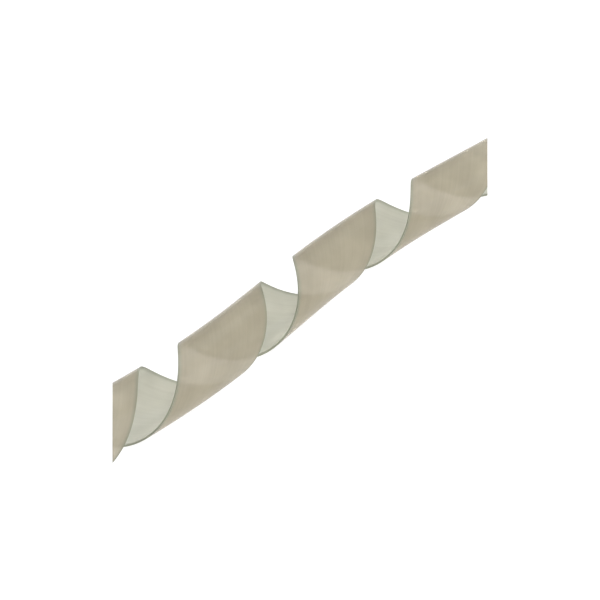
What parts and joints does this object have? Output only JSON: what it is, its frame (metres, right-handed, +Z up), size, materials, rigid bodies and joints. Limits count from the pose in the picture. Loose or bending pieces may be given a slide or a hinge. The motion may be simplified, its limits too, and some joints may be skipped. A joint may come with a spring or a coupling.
{
  "type": "spiral tree guard",
  "caption": "Helical strip of thin plastic that winds round a young trunk as a protective tube, open along its spiral gap.",
  "frame": {"origin": "centre of the footprint of the guard as it lies on its side, on the surface under it", "axes": "+X along the guard towards its far end, +Z up, +Y across it"},
  "size_m": [0.4034, 0.0656, 0.0406],
  "materials": {
    "guard_plastic": "satin, slightly translucent"
  },
  "bodies": {
    "turn_1_front_lower": {"turn_1_front_lower": "guard_plastic"},
    "turn_1_front_upper": {"turn_1_front_upper": "guard_plastic"},
    "turn_1_top_front": {"turn_1_top_front": "guard_plastic"},
    "turn_2_top_back": {"turn_2_top_back": "guard_plastic"},
    "turn_2_back_upper": {"turn_2_back_upper": "guard_plastic"},
    "turn_2_back_lower": {"turn_2_back_lower": "guard_plastic"},
    "turn_2_bottom_back": {"turn_2_bottom_back": "guard_plastic"},
    "turn_2_bottom_front": {"turn_2_bottom_front": "guard_plastic"},
    "turn_2_front_lower": {"turn_2_front_lower": "guard_plastic"},
    "turn_2_front_upper": {"turn_2_front_upper": "guard_plastic"},
    "turn_2_top_front": {"turn_2_top_front": "guard_plastic"},
    "turn_3_top_back": {"turn_3_top_back": "guard_plastic"},
    "turn_3_back_upper": {"turn_3_back_upper": "guard_plastic"},
    "turn_3_back_lower": {"turn_3_back_lower": "guard_plastic"},
    "turn_3_bottom_back": {"turn_3_bottom_back": "guard_plastic"},
    "turn_3_bottom_front": {"turn_3_bottom_front": "guard_plastic"},
    "turn_3_front_lower": {"turn_3_front_lower": "guard_plastic"},
    "turn_3_front_upper": {"turn_3_front_upper": "guard_plastic"},
    "turn_3_top_front": {"turn_3_top_front": "guard_plastic"},
    "turn_4_top_back": {"turn_4_top_back": "guard_plastic"},
    "turn_4_back_upper": {"turn_4_back_upper": "guard_plastic"},
    "turn_4_back_lower": {"turn_4_back_lower": "guard_plastic"},
    "turn_4_bottom_back": {"turn_4_bottom_back": "guard_plastic"},
    "turn_4_bottom_front": {"turn_4_bottom_front": "guard_plastic"},
    "turn_4_front_lower": {"turn_4_front_lower": "guard_plastic"},
    "turn_4_front_upper": {"turn_4_front_upper": "guard_plastic"},
    "turn_4_top_front": {"turn_4_top_front": "guard_plastic"},
    "turn_5_top_back": {"turn_5_top_back": "guard_plastic"},
    "turn_5_back_upper": {"turn_5_back_upper": "guard_plastic"},
    "turn_5_back_lower": {"turn_5_back_lower": "guard_plastic"},
    "turn_5_bottom_back": {"turn_5_bottom_back": "guard_plastic"},
    "turn_5_bottom_front": {"turn_5_bottom_front": "guard_plastic"}
  },
  "joints": [
    {"name": "stretch", "type": "slide", "parent": "turn_3_bottom_front", "child": "turn_3_front_lower", "axis": [1, 0, 0], "range_m": [-0.0045, 0.0045], "stiffness_N_per_m": 300},
    {"name": "bend", "type": "hinge", "parent": "turn_3_front_lower", "child": "turn_3_front_upper", "pos_m": [0.00551, 0.00359, 0.01882], "axis": [0, 0, 1], "range_deg": [-3, 3], "stiffness_Nm_per_rad": 1.5},
    {"name": "stretch_at_turn_3_top_front", "type": "slide", "parent": "turn_3_front_upper", "child": "turn_3_top_front", "axis": [0.9995, -0.0329, 0], "range_m": [-0.0045, 0.0045]},
    {"name": "stretch_at_turn_4_top_back", "type": "slide", "parent": "turn_3_top_front", "child": "turn_4_top_back", "axis": [0.9986, -0.0534, 0], "range_m": [-0.0045, 0.0045]},
    {"name": "stretch_at_turn_4_back_upper", "type": "slide", "parent": "turn_4_top_back", "child": "turn_4_back_upper", "axis": [0.9973, -0.0739, 0], "range_m": [-0.0045, 0.0045]},
    {"name": "bend_at_turn_4_back_lower", "type": "hinge", "parent": "turn_4_back_upper", "child": "turn_4_back_lower", "pos_m": [0.06341, 0.00049, 0.01841], "axis": [0, 0, 1], "range_deg": [-3, 3]},
    {"name": "stretch_at_turn_4_bottom_back", "type": "slide", "parent": "turn_4_back_lower", "child": "turn_4_bottom_back", "axis": [0.9934, -0.1148, 0], "range_m": [-0.0045, 0.0045]},
    {"name": "stretch_at_turn_4_bottom_front", "type": "slide", "parent": "turn_4_bottom_back", "child": "turn_4_bottom_front", "axis": [0.9908, -0.1351, 0], "range_m": [-0.0045, 0.0045]},
    {"name": "stretch_at_turn_4_front_lower", "type": "slide", "parent": "turn_4_bottom_front", "child": "turn_4_front_lower", "axis": [0.9878, -0.1555, 0], "range_m": [-0.0045, 0.0045]},
    {"name": "far_unwind", "type": "hinge", "parent": "turn_4_front_lower", "child": "turn_4_front_upper", "pos_m": [0.1178, -0.02447, 0.01799], "axis": [0.9844, -0.1757, 0], "range_deg": [0, 25], "stiffness_Nm_per_rad": 0.3},
    {"name": "far_unwind_at_turn_4_top_front", "type": "hinge", "parent": "turn_4_front_upper", "child": "turn_4_top_front", "pos_m": [0.13284, -0.02202, 0.03012], "axis": [0.9826, -0.1859, 0], "range_deg": [0, 25]},
    {"name": "far_unwind_at_turn_5_top_back", "type": "hinge", "parent": "turn_4_top_front", "child": "turn_5_top_back", "pos_m": [0.14936, -0.0127, 0.03498], "axis": [0.9826, -0.1859, 0], "range_deg": [0, 25]},
    {"name": "far_unwind_at_turn_5_back_upper", "type": "hinge", "parent": "turn_5_top_back", "child": "turn_5_back_upper", "pos_m": [0.16585, -0.00352, 0.02977], "axis": [0.9826, -0.1859, 0], "range_deg": [0, 25]},
    {"name": "stretch_at_turn_5_back_lower", "type": "slide", "parent": "turn_5_back_upper", "child": "turn_5_back_lower", "axis": [0.9826, -0.1859, 0], "range_m": [-0.0045, 0.0045]},
    {"name": "stretch_at_turn_5_bottom_back", "type": "slide", "parent": "turn_5_back_lower", "child": "turn_5_bottom_back", "axis": [0.9826, -0.1859, 0], "range_m": [-0.0045, 0.0045]},
    {"name": "stretch_at_turn_5_bottom_front", "type": "slide", "parent": "turn_5_bottom_back", "child": "turn_5_bottom_front", "axis": [0.9826, -0.1859, 0], "range_m": [-0.0045, 0.0045]},
    {"name": "stretch_at_turn_3_bottom_back", "type": "slide", "parent": "turn_3_bottom_front", "child": "turn_3_bottom_back", "axis": [-1, 0, 0], "range_m": [-0.0045, 0.0045]},
    {"name": "stretch_at_turn_3_back_lower", "type": "slide", "parent": "turn_3_bottom_back", "child": "turn_3_back_lower", "axis": [-1, 0, 0], "range_m": [-0.0045, 0.0045]},
    {"name": "bend_at_turn_3_back_upper", "type": "hinge", "parent": "turn_3_back_lower", "child": "turn_3_back_upper", "pos_m": [-0.05249, 0.00364, 0.01923], "axis": [0, 0, -1], "range_deg": [-3, 3]},
    {"name": "stretch_at_turn_3_top_back", "type": "slide", "parent": "turn_3_back_upper", "child": "turn_3_top_back", "axis": [-0.9997, 0.0251, 0], "range_m": [-0.0045, 0.0045]},
    {"name": "stretch_at_turn_2_top_front", "type": "slide", "parent": "turn_3_top_back", "child": "turn_2_top_front", "axis": [-0.9988, 0.0481, 0], "range_m": [-0.0045, 0.0045]},
    {"name": "stretch_at_turn_2_front_upper", "type": "slide", "parent": "turn_2_top_front", "child": "turn_2_front_upper", "axis": [-0.9975, 0.0712, 0], "range_m": [-0.0045, 0.0045]},
    {"name": "bend_at_turn_2_front_lower", "type": "hinge", "parent": "turn_2_front_upper", "child": "turn_2_front_lower", "pos_m": [-0.11041, 0.00643, 0.01964], "axis": [0, 0, -1], "range_deg": [-3, 3]},
    {"name": "stretch_at_turn_2_bottom_front", "type": "slide", "parent": "turn_2_front_lower", "child": "turn_2_bottom_front", "axis": [-0.9931, 0.1171, 0], "range_m": [-0.0045, 0.0045]},
    {"name": "stretch_at_turn_2_bottom_back", "type": "slide", "parent": "turn_2_bottom_front", "child": "turn_2_bottom_back", "axis": [-0.9902, 0.1399, 0], "range_m": [-0.0045, 0.0045]},
    {"name": "stretch_at_turn_2_back_lower", "type": "slide", "parent": "turn_2_bottom_back", "child": "turn_2_back_lower", "axis": [-0.9867, 0.1627, 0], "range_m": [-0.0045, 0.0045]},
    {"name": "near_unwind", "type": "hinge", "parent": "turn_2_back_lower", "child": "turn_2_back_upper", "pos_m": [-0.16421, 0.03366, 0.02005], "axis": [-0.9827, 0.1854, 0], "range_deg": [0, 25], "stiffness_Nm_per_rad": 0.3},
    {"name": "near_unwind_at_turn_2_top_back", "type": "hinge", "parent": "turn_2_back_upper", "child": "turn_2_top_back", "pos_m": [-0.17916, 0.03092, 0.03398], "axis": [-0.9781, 0.208, 0], "range_deg": [0, 25]},
    {"name": "near_unwind_at_turn_1_top_front", "type": "hinge", "parent": "turn_2_top_back", "child": "turn_1_top_front", "pos_m": [-0.19618, 0.02058, 0.03992], "axis": [-0.9731, 0.2305, 0], "range_deg": [0, 25]},
    {"name": "near_unwind_at_turn_1_front_upper", "type": "hinge", "parent": "turn_1_top_front", "child": "turn_1_front_upper", "pos_m": [-0.21389, 0.01015, 0.03501], "axis": [-0.9675, 0.2529, 0], "range_deg": [0, 25]},
    {"name": "stretch_at_turn_1_front_lower", "type": "slide", "parent": "turn_1_front_upper", "child": "turn_1_front_lower", "axis": [-0.9614, 0.2751, 0], "range_m": [-0.0045, 0.0045]}
  ],
  "couplings": [
    {"joint": "stretch_at_turn_3_top_front", "follows": "stretch", "ratio": 1},
    {"joint": "stretch_at_turn_4_top_back", "follows": "stretch", "ratio": 1},
    {"joint": "stretch_at_turn_4_back_upper", "follows": "stretch", "ratio": 1},
    {"joint": "bend_at_turn_4_back_lower", "follows": "bend", "ratio": 1},
    {"joint": "stretch_at_turn_4_bottom_back", "follows": "stretch", "ratio": 1},
    {"joint": "stretch_at_turn_4_bottom_front", "follows": "stretch", "ratio": 1},
    {"joint": "stretch_at_turn_4_front_lower", "follows": "stretch", "ratio": 1},
    {"joint": "far_unwind_at_turn_4_top_front", "follows": "far_unwind", "ratio": 1},
    {"joint": "far_unwind_at_turn_5_top_back", "follows": "far_unwind", "ratio": 1},
    {"joint": "far_unwind_at_turn_5_back_upper", "follows": "far_unwind", "ratio": 1},
    {"joint": "stretch_at_turn_5_back_lower", "follows": "stretch", "ratio": 1},
    {"joint": "stretch_at_turn_5_bottom_back", "follows": "stretch", "ratio": 1},
    {"joint": "stretch_at_turn_5_bottom_front", "follows": "stretch", "ratio": 1},
    {"joint": "stretch_at_turn_3_bottom_back", "follows": "stretch", "ratio": 1},
    {"joint": "stretch_at_turn_3_back_lower", "follows": "stretch", "ratio": 1},
    {"joint": "bend_at_turn_3_back_upper", "follows": "bend", "ratio": 1},
    {"joint": "stretch_at_turn_3_top_back", "follows": "stretch", "ratio": 1},
    {"joint": "stretch_at_turn_2_top_front", "follows": "stretch", "ratio": 1},
    {"joint": "stretch_at_turn_2_front_upper", "follows": "stretch", "ratio": 1},
    {"joint": "bend_at_turn_2_front_lower", "follows": "bend", "ratio": 1},
    {"joint": "stretch_at_turn_2_bottom_front", "follows": "stretch", "ratio": 1},
    {"joint": "stretch_at_turn_2_bottom_back", "follows": "stretch", "ratio": 1},
    {"joint": "stretch_at_turn_2_back_lower", "follows": "stretch", "ratio": 1},
    {"joint": "near_unwind_at_turn_2_top_back", "follows": "near_unwind", "ratio": 1},
    {"joint": "near_unwind_at_turn_1_top_front", "follows": "near_unwind", "ratio": 1},
    {"joint": "near_unwind_at_turn_1_front_upper", "follows": "near_unwind", "ratio": 1},
    {"joint": "stretch_at_turn_1_front_lower", "follows": "stretch", "ratio": 1}
  ]
}
